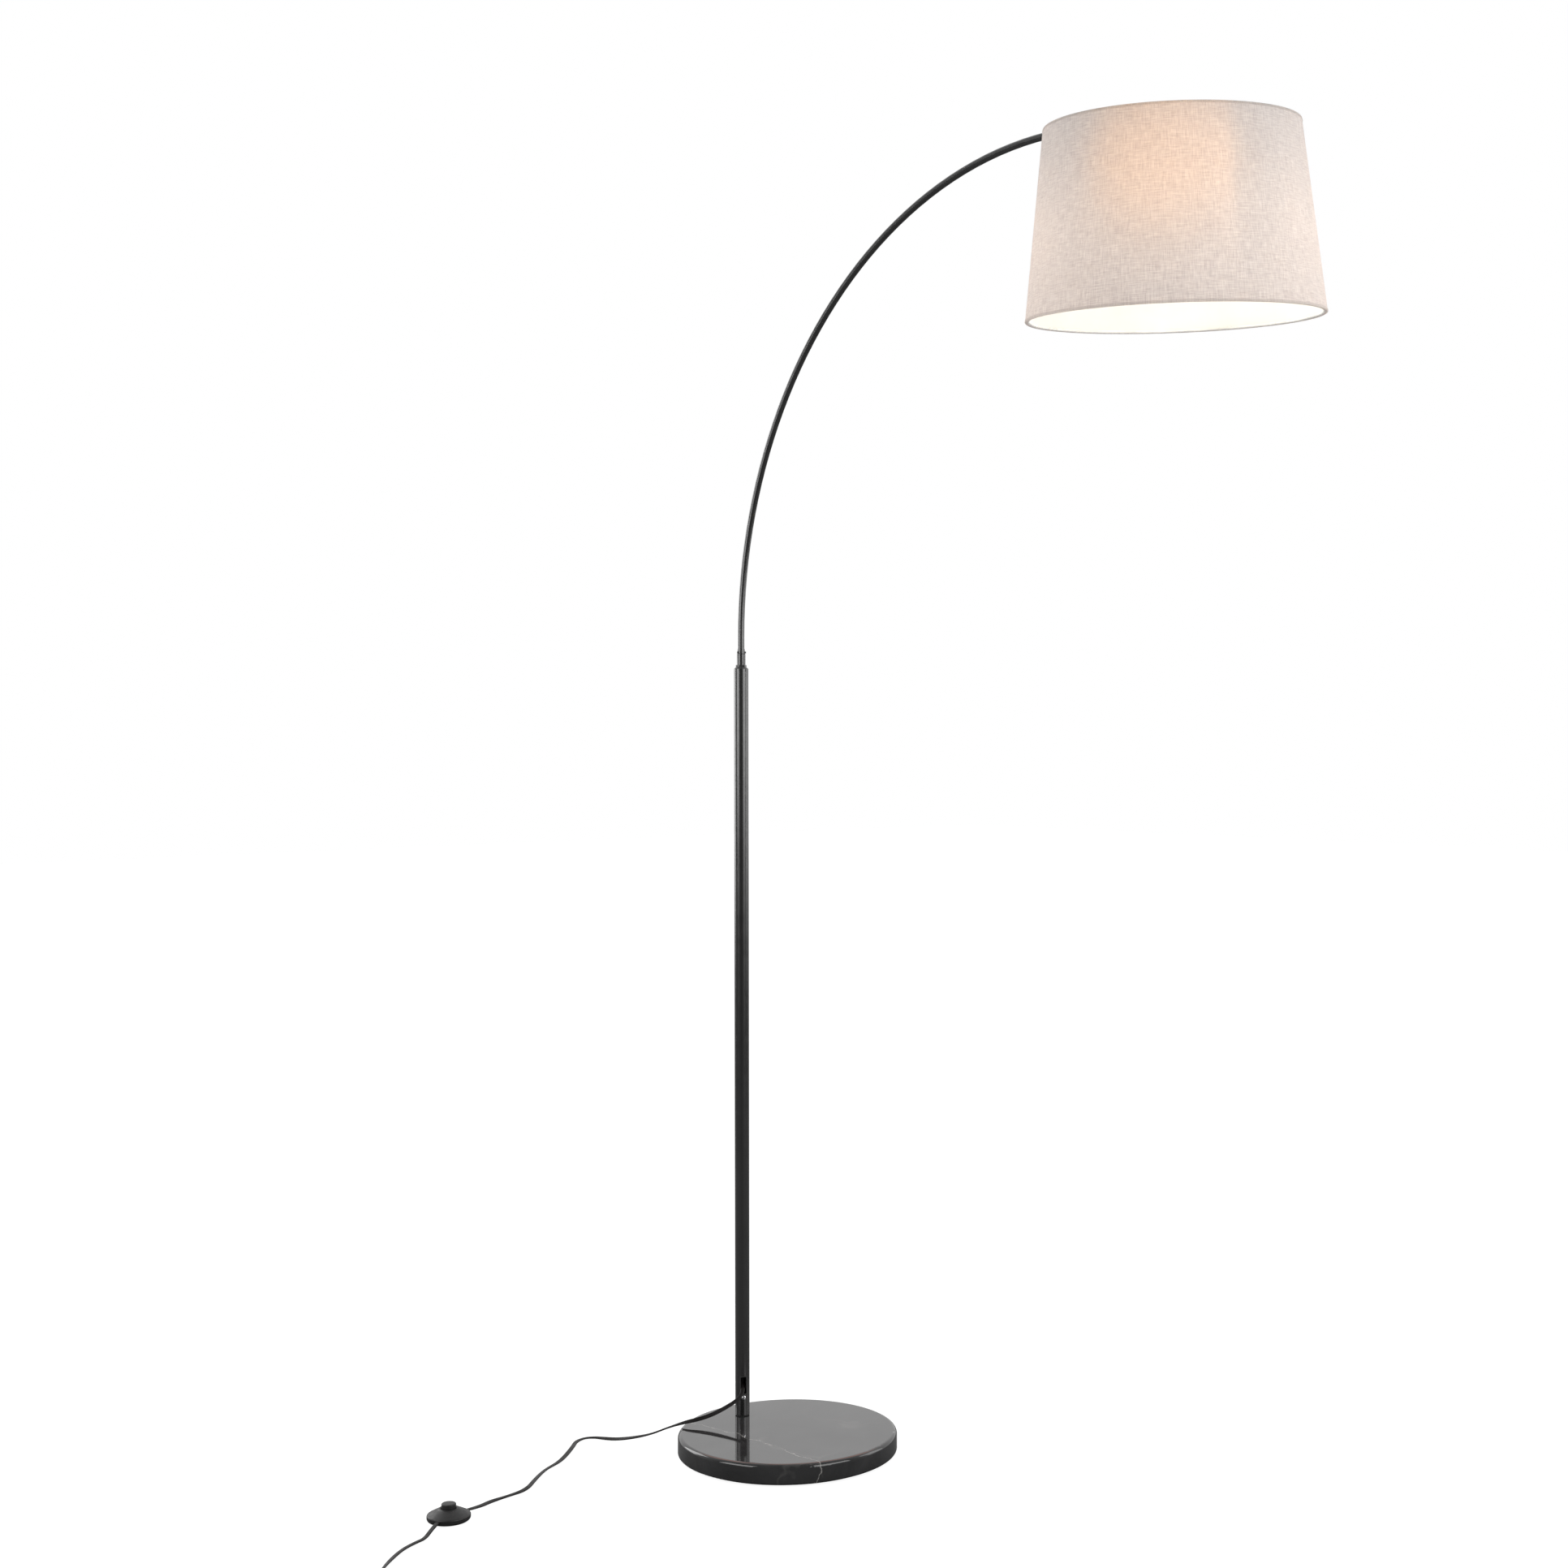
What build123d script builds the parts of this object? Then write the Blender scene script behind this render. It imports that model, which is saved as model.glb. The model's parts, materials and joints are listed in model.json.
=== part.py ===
from build123d import *
import math
import os

# Arc floor lamp, in millimetres. The origin is on the floor under the middle of the
# marble disc, +Z is up and +X points from the pole towards the shade.

# --- Driving dimensions -------------------------------------------------------------
# Marble base
base_radius = 150.0
felt_thickness = 2.0
slab_thickness = 27.0
slab_top_round = 6.0
slab_foot_round = 2.5
slab_top = felt_thickness + slab_thickness
bolt_recess_radius = 22.0
bolt_recess_depth = 11.0

# Pole
pole_x = -99.2
pole_radius = 10.0
pole_wall = 1.2
pole_bore = pole_radius - pole_wall
gasket_thickness = 1.5
pole_foot = slab_top + gasket_thickness
pole_top = 1071.5
foot_plug_top = 60.0

# Cord slot and locking screw, both on the side of the pole that faces slot_angle
slot_angle = -29.0
slot_low = 60.5
slot_high = 85.5
slot_width = 9.4
lock_screw_z = 55.6

# Coupler between the pole and the arm
cap_height = 6.5
locknut_height = 2.5
sleeve_radius = 6.0
sleeve_foot = pole_top + cap_height + locknut_height
sleeve_top = 1103.0
arm_seat = 1085.0
set_screw_z = 1098.0
set_screw_angles = (-84.0, 36.0, 156.0)

# Arc arm
arm_radius = 4.5
arm_bore = 3.5
arc_radius = 585.9
arc_start_z = 1119.1
arc_past_apex = 17.46
arm_straight_end = 14.0
pivot_past_arc = 24.0

# Shade and lampholder, measured along the shade's own axis from the tilt pivot
shade_above_pivot = 9.5
shade_below_pivot = 206.5
shade_top_radius = 147.0
shade_bottom_radius = 173.0
fabric_thickness = 1.0
liner_thickness = 0.6
shade_lean = 1.66
shade_roll = 4.07
fitter_z = -48.2
hem_leg = 2.6

# Wires and cord
wire_radius = 2.5
cord_width = 5.6
cord_radius = cord_width / 2

# Foot switch
switch_x = -83.8
switch_y = -481.8
switch_radius = 27.3
switch_seam = 5.6
switch_wall = 2.0
switch_entry_angle = 95.0
switch_exit_angle = -62.0
button_radius = 9.15
button_top = 21.5
button_travel = 3.0

# Coil of spare cord, and the plug
coil_x = 75.0
coil_y = -690.0
coil_inner = 27.0
coil_outer = 37.6
coil_low = 0.4
coil_high = 11.8
plug_x = 143.0
plug_y = -727.5
plug_z = 7.2

# --- Routes of the free cord ---------------------------------------------------------
lamp_side_route = [
    (-98.0, -1.0, 75.0),
    (-88.0, -6.9, 65.5),
    (-83.0, -21.0, 57.5),
    (-86.5, -39.0, 50.5),
    (-92.0, -57.0, 44.0),
    (-100.5, -74.0, 39.5),
    (-112.0, -92.0, 37.5),
    (-129.0, -106.5, 32.0),
    (-149.5, -120.0, 19.5),
    (-171.0, -136.0, 9.0),
    (-193.0, -149.0, 3.6),
    (-213.0, -156.0, 3.0),
    (-228.0, -162.5, 3.0),
    (-236.5, -174.0, 3.0),
    (-235.5, -188.5, 3.0),
    (-223.0, -203.0, 3.0),
    (-205.0, -220.0, 3.0),
    (-184.0, -242.0, 3.0),
    (-167.0, -264.0, 3.0),
    (-152.5, -291.0, 3.0),
    (-131.0, -322.0, 3.0),
    (-104.0, -354.0, 3.0),
    (-101.5, -384.0, 3.0),
    (-97.5, -412.0, 3.1),
    (-88.0, -435.0, 4.6),
    (-86.0, -456.0, 5.6),
]
plug_side_route = [
    (-72.1, -503.9, 5.6),
    (-64.5, -518.1, 5.0),
    (-48.0, -534.0, 3.0),
    (-37.5, -556.0, 3.0),
    (-24.0, -582.0, 3.0),
    (-8.0, -606.0, 3.0),
    (11.0, -628.0, 3.0),
    (30.0, -647.0, 3.0),
    (38.2, -667.0, 3.4),
    (39.6, -684.0, 3.2),
]
tail_route = [
    (77.0, -725.4, 8.7),
    (88.0, -725.6, 8.6),
    (99.5, -727.5, 7.2),
    (111.0, -727.5, 7.2),
]


# --- Helpers ---------------------------------------------------------------------------
def turned(points):
    """Solid of revolution about Z from an outline of (radius, height) points."""
    outline = make_face(Polyline(*[(r, z) for r, z in points], close=True))
    return revolve(Plane.XZ * outline, Axis.Z)


def rod(radius, low, high):
    """Upright cylinder between two heights."""
    return Pos(0, 0, low) * Cylinder(radius, high - low, align=(Align.CENTER, Align.CENTER, Align.MIN))


def pipe(outer, inner, low, high):
    """Upright tube between two heights."""
    return rod(outer, low, high) - rod(inner, low - 1, high + 1)


def hexagon(across_flats, low, high):
    """Upright hexagonal bar between two heights."""
    profile = Pos(0, 0, low) * RegularPolygon(across_flats / 2, 6, major_radius=False)
    return extrude(profile, amount=high - low)


def box_between(low, high):
    """Box from its lowest corner to its highest corner."""
    size = [h - l for l, h in zip(low, high)]
    return Pos(*low) * Box(*size, align=(Align.MIN, Align.MIN, Align.MIN))


def radial_rod(angle, height, radius, inner, outer):
    """Cylinder that points away from the Z axis, between two distances from it."""
    lying = Rot(0, 90, 0) * rod(radius, inner, outer)
    return Pos(0, 0, height) * (Rot(0, 0, angle) * lying)


def corner_radii(points):
    """Arc radius at each corner of a route: as large as its two runs allow."""
    spots = [Vector(*p) for p in points]
    radii = []
    for before, corner, after in zip(spots, spots[1:], spots[2:]):
        first = corner - before
        second = after - corner
        half_turn = math.radians(first.get_angle(second) / 2)
        radii.append(0.45 * min(first.length, second.length) / math.tan(half_turn))
    return radii


def cord_tube(name, points):
    """Round tube along straight runs joined by tangent arcs."""
    radii = corner_radii(points)
    path = FilletPolyline(*points, radius=radii)
    start = Plane(origin=path @ 0, z_dir=path % 0)
    tube = sweep(start * Circle(cord_radius), path)
    ideal = math.pi * cord_radius**2 * path.length
    print(name, "length", round(path.length, 1), "volume/ideal", round(tube.volume / ideal, 4))
    print("  radii", [round(r, 1) for r in radii])
    return tube


def at_pole(part):
    """Move a part drawn about Z onto the pole's axis."""
    return Pos(pole_x, 0, 0) * part


def at_switch(part):
    """Move a part drawn about Z onto the foot switch's axis."""
    return Pos(switch_x, switch_y, 0) * part


def cone_radius(height):
    """Outer radius of the shade's fabric at a height above the tilt pivot."""
    drop = (shade_above_pivot - height) / (shade_above_pivot + shade_below_pivot)
    return shade_top_radius + drop * (shade_bottom_radius - shade_top_radius)


# --- Frames of the arm's end and of the shade ------------------------------------------
droop = math.radians(arc_past_apex)
arc_centre = Vector(pole_x + arc_radius, 0, arc_start_z)
arc_end = arc_centre + Vector(math.sin(droop), 0, math.cos(droop)) * arc_radius
arm_direction = Vector(math.cos(droop), 0, -math.sin(droop))
pivot = arc_end + arm_direction * pivot_past_arc

lean = math.radians(shade_lean)
roll = math.radians(shade_roll)
shade_axis = Vector(
    math.sin(lean),
    -math.sin(roll) * math.cos(lean),
    math.cos(roll) * math.cos(lean),
)
hinge_axis = shade_axis.cross(arm_direction).normalized()
head_frame = Plane(origin=pivot, x_dir=hinge_axis.cross(shade_axis), z_dir=shade_axis).location
arm_end_frame = Plane(
    origin=pivot, x_dir=hinge_axis.cross(arm_direction), z_dir=arm_direction
).location


# --- Base ---------------------------------------------------------------------------------
def marble_base():
    slab = rod(base_radius, felt_thickness, slab_top)
    top_edge = slab.edges().sort_by(Axis.Z)[-1]
    slab = fillet(top_edge, slab_top_round)
    foot_edge = slab.edges().filter_by(GeomType.CIRCLE).sort_by(Axis.Z)[0]
    slab = fillet(foot_edge, slab_foot_round)
    recess = rod(bolt_recess_radius, 0, felt_thickness + bolt_recess_depth)
    return slab - at_pole(recess) - at_pole(rod(5.5, 0, slab_top + 1))


def base_felt():
    disc = rod(base_radius - 7, 0, felt_thickness)
    return disc - at_pole(rod(bolt_recess_radius + 1, -1, felt_thickness + 1))


def base_washer():
    top = felt_thickness + bolt_recess_depth
    return at_pole(pipe(18, 5.5, top - 2.5, top))


def base_bolt():
    head_top = felt_thickness + bolt_recess_depth - 2.5
    return at_pole(hexagon(17, head_top - 6.4, head_top) + rod(5.0, head_top, 47.5))


def pole_foot_plug():
    plug = rod(pole_bore - 0.05, pole_foot, foot_plug_top)
    plug = plug - rod(5.05, pole_foot - 1, 50)
    return at_pole(plug - radial_rod(slot_angle, lock_screw_z, 2.05, 0, 12))


def pole_foot_gasket():
    return at_pole(pipe(pole_radius - 0.3, 6.0, slab_top, pole_foot))


# --- Pole -----------------------------------------------------------------------------------
def slot_cutter(width, low, high, inner, outer):
    block = box_between((inner, -width / 2, low), (outer, width / 2, high))
    block = fillet(block.edges().filter_by(Axis.X), min(width, high - low) * 0.18)
    return Rot(0, 0, slot_angle) * block


def pole_tube():
    tube = pipe(pole_radius, pole_bore, pole_foot, pole_top)
    tube = tube - slot_cutter(slot_width, slot_low, slot_high, 3, 14)
    return at_pole(tube - radial_rod(slot_angle, lock_screw_z, 2.2, 5, 14))


def slot_grommet():
    """Moulded edging that lines the cord slot, with a thin lip outside the tube."""
    gap = 0.05
    liner = slot_cutter(slot_width - 2 * gap, slot_low + gap, slot_high - gap, 3, 14)
    liner = liner & pipe(pole_radius + 0.7, pole_bore, slot_low, slot_high)
    lip = slot_cutter(slot_width + 1.6, slot_low - 0.9, slot_high + 0.9, 3, 14)
    lip = lip & pipe(pole_radius + 0.7, pole_radius + gap, slot_low - 2, slot_high + 2)
    opening = slot_cutter(slot_width - 1.7, slot_low + 0.9, slot_high - 0.9, 2, 15)
    return at_pole((liner + lip) - opening)


def pole_lock_screw():
    shank = radial_rod(slot_angle, lock_screw_z, 2.0, 3, pole_radius + 0.1)
    head = turned([(0, 0), (3.0, 0), (3.0, 0.9), (2.2, 1.9), (0, 2.2)])
    head = head - Pos(0, 0, 1.9) * Box(5, 0.8, 1.2) - Pos(0, 0, 1.9) * Box(0.8, 5, 1.2)
    head = Pos(pole_radius + 0.1, 0, 0) * (Rot(0, 90, 0) * head)
    head = Pos(0, 0, lock_screw_z) * (Rot(0, 0, slot_angle) * head)
    return at_pole(shank + head)


def pole_wire():
    return at_pole(rod(wire_radius, 73.0, arm_seat - 0.5))


def pole_top_cap():
    flange = pole_top + cap_height
    body = turned([
        (0, pole_top - 15), (pole_bore - 0.05, pole_top - 15), (pole_bore - 0.05, pole_top),
        (pole_radius, pole_top), (pole_radius, pole_top + 3.6), (pole_radius - 0.5, pole_top + 4.1),
        (pole_radius - 2.8, flange), (0, flange),
    ])
    return at_pole(body - rod(5.0, pole_top - 20, flange + 1))


def coupler_locknut():
    low = pole_top + cap_height
    nut = hexagon(13.0, low, low + locknut_height)
    return at_pole(nut - rod(5.0, low - 1, low + 5))


def coupler_sleeve():
    body = turned([
        (0, pole_top - 12), (4.95, pole_top - 12), (4.95, sleeve_foot), (sleeve_radius, sleeve_foot),
        (sleeve_radius, 1095.5), (5.7, 1096.2), (4.95, sleeve_top), (0, sleeve_top),
    ])
    body = body - rod(arm_radius + 0.04, arm_seat, sleeve_top + 1)
    body = body - rod(wire_radius + 0.4, pole_top - 20, arm_seat + 1)
    for angle in set_screw_angles:
        body = body - radial_rod(angle, set_screw_z, 1.45, 3, 9)
    return at_pole(body)


def coupler_set_screws():
    screws = [radial_rod(angle, set_screw_z, 1.4, arm_radius + 0.3, 6.7) for angle in set_screw_angles]
    sockets = [radial_rod(angle, set_screw_z, 0.7, 5.7, 8) for angle in set_screw_angles]
    cut = [screw - socket for screw, socket in zip(screws, sockets)]
    return at_pole(Compound(children=cut))


# --- Arm --------------------------------------------------------------------------------------
def arm_path(low, past_arc):
    """Centre line of the arm: upright, then the arc, then a short straight end."""
    foot = Vector(pole_x, 0, low)
    spring = Vector(pole_x, 0, arc_start_z)
    middle_angle = (math.pi / 2 + droop) / 2
    middle = arc_centre + Vector(-math.cos(middle_angle), 0, math.sin(middle_angle)) * arc_radius
    upright = Line(foot, spring)
    arc = ThreePointArc(spring, middle, arc_end)
    straight = Line(arc_end, arc_end + arm_direction * past_arc)
    return Wire([upright, arc, straight])


def arm_tube():
    path = arm_path(arm_seat + 0.05, arm_straight_end)
    start = Plane(origin=path @ 0, z_dir=path % 0)
    ring = Circle(arm_radius) - Circle(arm_bore)
    return sweep(start * ring, path)


def arm_wire():
    path = arm_path(arm_seat + 0.2, arm_straight_end - 1)
    start = Plane(origin=path @ 0, z_dir=path % 0)
    return sweep(start * Circle(wire_radius), path)


# Swivel joint at the end of the arm. Both halves are drawn about the pivot: the hinge
# is the local Y axis, the upper half takes the tube along local Z, the lower half hangs.
disc_radius = 9.0
disc_inner = 0.5
disc_outer = 7.5


def hinge_disc(radius, low, high):
    """Disc about the hinge axis, between two places along it."""
    return Rot(-90, 0, 0) * rod(radius, low, high)


def swivel_upper():
    disc = hinge_disc(disc_radius, disc_inner, disc_outer)
    web = box_between((-5.5, disc_inner, -12), (5.5, disc_outer, 0))
    socket = rod(6.6, -26, -9.6)
    body = disc + web + socket
    body = body - rod(arm_radius + 0.05, -27, -pivot_past_arc + arm_straight_end)
    body = body - hinge_disc(2.6, -1, 12)
    return arm_end_frame * body


def swivel_washer():
    washer = hinge_disc(disc_radius - 0.5, -0.4, disc_inner) - hinge_disc(2.6, -1, 1)
    return arm_end_frame * washer


def swivel_bolt():
    shank = hinge_disc(2.5, -10.8, disc_outer + 0.05)
    head = hinge_disc(4.2, disc_outer + 0.05, disc_outer + 3.0)
    slot = Pos(0, disc_outer + 2.6, 0) * Box(1.0, 1.6, 9)
    return arm_end_frame * (shank + head - slot)


def swivel_nut():
    nut = Rot(-90, 0, 0) * hexagon(8.0, -disc_outer - 3.4, -disc_outer - 0.1)
    return arm_end_frame * (nut - hinge_disc(2.55, -12, -6))


def swivel_lower():
    disc = hinge_disc(disc_radius, -disc_outer, -disc_inner)
    web = box_between((-5.5, -disc_outer, -13.5), (5.5, -disc_inner, 0))
    shoulder = rod(disc_outer, -13.5, -9.7)
    stem = rod(4.95, -30, -13)
    body = disc + web + shoulder + stem
    body = body - hinge_disc(2.56, -12, 1)
    return head_frame * (body - rod(2.9, -31, -11.5))


# --- Lampholder and bulb -----------------------------------------------------------------------
def lampholder_cap():
    body = turned([
        (0, -16.5), (7.0, -16.5), (7.5, -17.0), (7.5, -21.0), (14.5, -23.5), (19.0, -29.5),
        (20.0, -35.0), (20.0, -43.6), (18.0, -43.6), (18.0, -35.0), (17.0, -30.5), (13.0, -26.0),
        (0, -26.0),
    ])
    return head_frame * (body - rod(5.0, -27, -16))


def lampholder_body():
    body = turned([
        (0, -38.0), (17.8, -38.0), (17.8, -43.8), (20.8, -43.8), (20.8, -47.1), (17.5, -47.1),
        (17.5, -78.0), (14.6, -78.0), (14.6, -46.0), (0, -46.0),
    ])
    return head_frame * (body - rod(2.9, -50, -37))


def lampholder_insulator():
    return head_frame * (rod(14.3, -51.5, -46.1) - rod(1.6, -52, -46) - Pos(7, 0, 0) * rod(1.6, -52, -46))


def lampholder_contacts():
    tongue = turned([(0, -46.2), (1.5, -46.2), (1.5, -51.5), (3.2, -51.5), (3.2, -52.4), (0, -52.4)])
    side = Pos(7, 0, 0) * turned([(0, -46.2), (1.5, -46.2), (1.5, -51.5), (2.6, -51.5), (2.6, -52.2), (0, -52.2)])
    return head_frame * Compound(children=[tongue, side])


def lampholder_shell():
    return head_frame * pipe(14.3, 13.7, -76.0, -51.6)


def shade_retaining_ring():
    ring = pipe(22.5, 17.6, -58.0, fitter_z - 1.1)
    for step in range(12):
        ring = ring - (Rot(0, 0, step * 30) * (Pos(23.6, 0, -53.6) * Cylinder(1.8, 12)))
    return head_frame * ring


def bulb_cap():
    body = turned([
        (0, -52.6), (4.8, -52.6), (6.0, -53.6), (12.0, -56.5), (13.3, -58.0), (13.3, -78.5),
        (0, -78.5),
    ])
    return head_frame * body


def bulb_housing():
    body = turned([
        (0, -78.6), (14.0, -78.6), (15.5, -81.0), (19.5, -92.0), (25.5, -106.0), (25.5, -107.0),
        (0, -107.0),
    ])
    return head_frame * body


def bulb_globe():
    centre_z = -123.0
    globe = Pos(0, 0, centre_z) * Sphere(30.0)
    hollow = Pos(0, 0, centre_z) * Sphere(28.8)
    below_housing = rod(40, -170, -107.1)
    return head_frame * ((globe - hollow) & below_housing)


# --- Shade ----------------------------------------------------------------------------------------
top_ring_radius = shade_top_radius - 3.4
bottom_ring_radius = shade_bottom_radius - 3.9
ring_wire = 1.5


def shade_frame():
    """Top ring, three spokes and the ring that clamps on the lampholder: one welded piece."""
    ring_z = shade_above_pivot - 1.7
    frame = Pos(0, 0, ring_z) * Torus(top_ring_radius, ring_wire)
    frame = frame + pipe(23.0, 17.7, fitter_z - 1.0, fitter_z + 1.0)
    for angle in (0, 120, 240):
        inner = Vector(22.8, 0, fitter_z)
        outer = Vector(top_ring_radius, 0, ring_z)
        start = Plane(origin=inner, z_dir=outer - inner)
        spoke = extrude(start * Circle(1.5), amount=(outer - inner).length)
        frame = frame + Rot(0, 0, angle) * spoke
    return head_frame * frame


def shade_bottom_ring():
    ring_z = -shade_below_pivot + 1.7
    return head_frame * (Pos(0, 0, ring_z) * Torus(bottom_ring_radius, ring_wire))


def cone_shell(outset, thickness, low, high):
    """Conical band that stands outset from the shade's outer surface."""
    low_r = cone_radius(low) + outset
    high_r = cone_radius(high) + outset
    return turned([(low_r, low), (high_r, high), (high_r - thickness, high), (low_r - thickness, low)])


def shade_fabric():
    return head_frame * cone_shell(0, fabric_thickness, -shade_below_pivot, shade_above_pivot)


def shade_liner():
    low = -shade_below_pivot + 0.4
    high = shade_above_pivot - 0.4
    return head_frame * cone_shell(-fabric_thickness - 0.1, liner_thickness, low, high)


def hem(edge_z, inward):
    """Tape folded over an edge of the shade: an outer leg and a flange over the edge."""
    leg_end = edge_z + inward * hem_leg
    fold = edge_z - inward * 0.5
    edge_r = cone_radius(edge_z)
    leg_r = cone_radius(leg_end)
    return turned([
        (leg_r + 0.05, leg_end), (leg_r + 0.55, leg_end), (edge_r + 0.55, fold), (edge_r - 4.0, fold),
        (edge_r - 4.0, edge_z - inward * 0.05), (edge_r + 0.05, edge_z - inward * 0.05),
    ])


def shade_top_hem():
    return head_frame * hem(shade_above_pivot, -1)


def shade_bottom_hem():
    return head_frame * hem(-shade_below_pivot, 1)


# --- Foot switch ----------------------------------------------------------------------------------
def switch_cord_holes(radius):
    entry = radial_rod(switch_entry_angle, switch_seam, radius, 18, 32)
    exit_side = radial_rod(switch_exit_angle, switch_seam, radius, 18, 32)
    return entry + exit_side


def switch_base():
    inner = switch_radius - switch_wall
    shell = turned([
        (0, 0), (24.0, 0), (26.2, 1.6), (switch_radius, 4.2), (switch_radius, switch_seam - 0.05),
        (inner, switch_seam - 0.05), (inner, 4.0), (23.0, 2.0), (0, 2.0),
    ])
    guide = pipe(6.4, 5.4, 1.9, 6.0)
    for x in (-16, 16):
        shell = shell + Pos(x, 0, 0) * rod(3.4, 1.9, 7.0)
    shell = shell + guide
    for x in (-16, 16):
        shell = shell - Pos(x, 0, 0) * rod(1.6, -1, 8) - Pos(x, 0, 0) * rod(2.9, -1, 1.8)
    return at_switch(shell - switch_cord_holes(3.1))


def switch_cover():
    inner = switch_radius - switch_wall
    dome = turned([
        (10.9, 14.6), (12.0, 14.9), (17.5, 12.4), (23.0, 9.3), (26.6, 6.8), (switch_radius, switch_seam),
        (inner, switch_seam), (24.2, 6.6), (21.8, 7.9), (16.6, 10.6), (11.6, 12.8), (9.4, 13.4),
        (9.4, 15.4), (10.4, 15.6),
    ])
    for x in (-16, 16):
        dome = dome + (Pos(x, 0, 0) * (rod(3.4, 7.1, 11.2) - rod(1.3, 6, 10.4)))
    return at_switch(dome - switch_cord_holes(3.1))


def switch_button():
    body = turned([
        (0, 8.6), (5.0, 8.6), (5.0, 10.6), (10.6, 10.6), (10.6, 11.8), (button_radius, 11.8),
        (button_radius, button_top - 1.0), (button_radius - 1.0, button_top), (0, button_top),
    ])
    return at_switch(body - rod(3.8, 8.0, 11.0))


def switch_spring():
    return at_switch(pipe(3.5, 2.7, 2.05, 10.9))


def switch_contacts():
    strip = box_between((-12, 8.2, 2.1), (12, 11.4, 2.9))
    post = box_between((-12, 8.2, 2.9), (-9.5, 11.4, 6.5))
    near = strip + post
    far = Rot(0, 0, 180) * near
    return at_switch(Compound(children=[near, far]))


def switch_screws():
    screws = []
    for x in (-16, 16):
        screw = rod(1.25, 1.6, 10.0) + rod(2.7, 0.3, 1.7)
        screws.append(Pos(x, 0, 0) * (screw - Pos(0, 0, 0.3) * Box(4, 0.7, 0.9)))
    return at_switch(Compound(children=screws))


# --- Spare cord and plug ----------------------------------------------------------------------------
def cord_coil():
    edge = 1.2
    ring = turned([
        (coil_inner + edge, coil_low), (coil_outer - edge, coil_low),
        (coil_outer, coil_low + edge), (coil_outer, coil_high - edge), (coil_outer - edge, coil_high),
        (coil_inner + edge, coil_high), (coil_inner, coil_high - edge), (coil_inner, coil_low + edge),
    ])
    return Pos(coil_x, coil_y, 0) * ring


def cord_tie():
    low = (coil_inner - 1.8, -5, 0.05)
    high = (coil_outer + 1.2, 5, coil_high + 1.0)
    wall = 0.9
    band = box_between(low, high)
    opening = box_between((low[0] + wall, -6, 0.35), (high[0] - wall, 6, high[2] - wall))
    buckle = box_between((30, -2.6, high[2]), (35, 2.6, high[2] + 1.4))
    return Pos(coil_x, coil_y, 0) * (Rot(0, 0, 35) * (band - opening + buckle))


def at_plug(part):
    """Move a part drawn along +X from the plug's rear face."""
    return Pos(plug_x, plug_y, plug_z) * part


def plug_body():
    body = Box(29, 24, 14, align=(Align.MIN, Align.CENTER, Align.CENTER))
    body = fillet(body.edges().filter_by(Axis.X), 5.0)
    return at_plug(chamfer(body.faces().sort_by(Axis.X)[0].edges(), 2.5))


def plug_strain_relief():
    length = plug_x - tail_route[-1][0]
    wide = Plane.YZ * RectangleRounded(12.0, 9.0, 3.0)
    narrow = Plane.YZ.offset(-length) * RectangleRounded(7.4, 6.6, 2.2)
    cone = loft([narrow, wide])
    for step in range(4):
        cut = box_between((-7.5 - 6 * step, -8, -8), (-5.5 - 6 * step, 8, 8))
        depth = 5.1 - 0.55 * step
        core = box_between((-40, -depth + 0.6, -depth + 1.6), (1, depth - 0.6, depth - 1.6))
        cone = cone - (cut - core)
    return at_plug(cone)


def plug_blades():
    blades = []
    for side, width in ((-1, 6.35), (1, 7.9)):
        blade = box_between((29, side * 6.35 - 0.75, -width / 2), (46, side * 6.35 + 0.75, width / 2))
        blade = blade - Pos(42, side * 6.35, 0) * (Rot(90, 0, 0) * Cylinder(1.6, 5))
        blades.append(blade)
    return at_plug(Compound(children=blades))


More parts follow.
